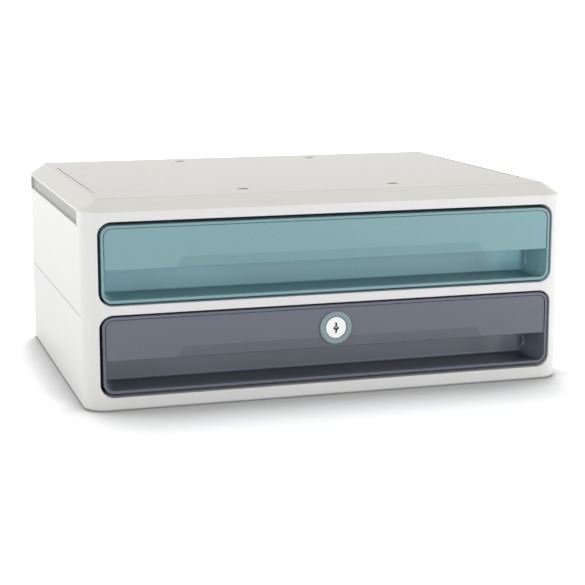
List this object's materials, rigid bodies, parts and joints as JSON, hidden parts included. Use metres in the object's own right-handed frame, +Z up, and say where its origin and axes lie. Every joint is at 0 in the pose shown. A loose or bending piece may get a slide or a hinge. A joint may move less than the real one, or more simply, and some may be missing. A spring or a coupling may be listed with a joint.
{
  "type": "letter tray stack with drawers",
  "caption": "Closed desk letter tray stack: a pale casing with translucent recessed-grip drawers on runners, the lower one with a cam lock.",
  "frame": {"origin": "centre of the bounding box on the surface that the rubber feet stand on", "axes": "+X to the right as seen from the drawer fronts, +Y from the fronts to the back, +Z up"},
  "size_m": [0.38, 0.2906, 0.1556],
  "materials": {
    "casing_white": "fine satin grain, opaque",
    "teal_plastic": "translucent, satin",
    "slate_plastic": "translucent, satin",
    "ring_plastic": "satin",
    "plug_plastic": "smooth satin",
    "lock_metal": "zinc plated, dull",
    "screw_steel": "zinc plated",
    "foot_rubber": "matt"
  },
  "bodies": {
    "casing": {"front_frame": "casing_white", "lower_shell": "casing_white", "upper_shell": "casing_white", "top_panel": "casing_white", "middle_shelf": "casing_white", "right_lower_runner": "casing_white", "left_lower_runner": "casing_white", "right_upper_runner": "casing_white", "left_upper_runner": "casing_white", "lower_drawer_stops": "casing_white", "upper_drawer_stops": "casing_white", "front_left_foot": "foot_rubber", "front_right_foot": "foot_rubber", "back_left_foot": "foot_rubber", "back_right_foot": "foot_rubber", "casing_screws": "screw_steel", "shelf_screws": "screw_steel", "lock_strike": "screw_steel"},
    "upper_drawer": {"upper_drawer_tray": "teal_plastic", "upper_drawer_front": "teal_plastic", "upper_drawer_flap": "teal_plastic", "upper_drawer_screws": "screw_steel"},
    "lower_drawer": {"lower_drawer_tray": "slate_plastic", "lower_drawer_front": "slate_plastic", "lower_drawer_flap": "slate_plastic", "lower_drawer_screws": "screw_steel", "lock_ring": "ring_plastic", "lock_housing": "lock_metal", "lock_nut": "lock_metal"},
    "lock": {"lock_plug": "plug_plastic", "lock_cam": "lock_metal", "cam_screw": "screw_steel"}
  },
  "joints": [
    {"name": "upper_drawer_slide", "type": "slide", "parent": "casing", "child": "upper_drawer", "axis": [0, -1, 0], "range_m": [0, 0.195]},
    {"name": "lower_drawer_slide", "type": "slide", "parent": "casing", "child": "lower_drawer", "axis": [0, -1, 0], "range_m": [0, 0.195]},
    {"name": "lock_turn", "type": "hinge", "parent": "lower_drawer", "child": "lock", "pos_m": [0.0008, -0.1447, 0.0525], "axis": [0, -1, 0], "range_deg": [0, 90]}
  ]
}
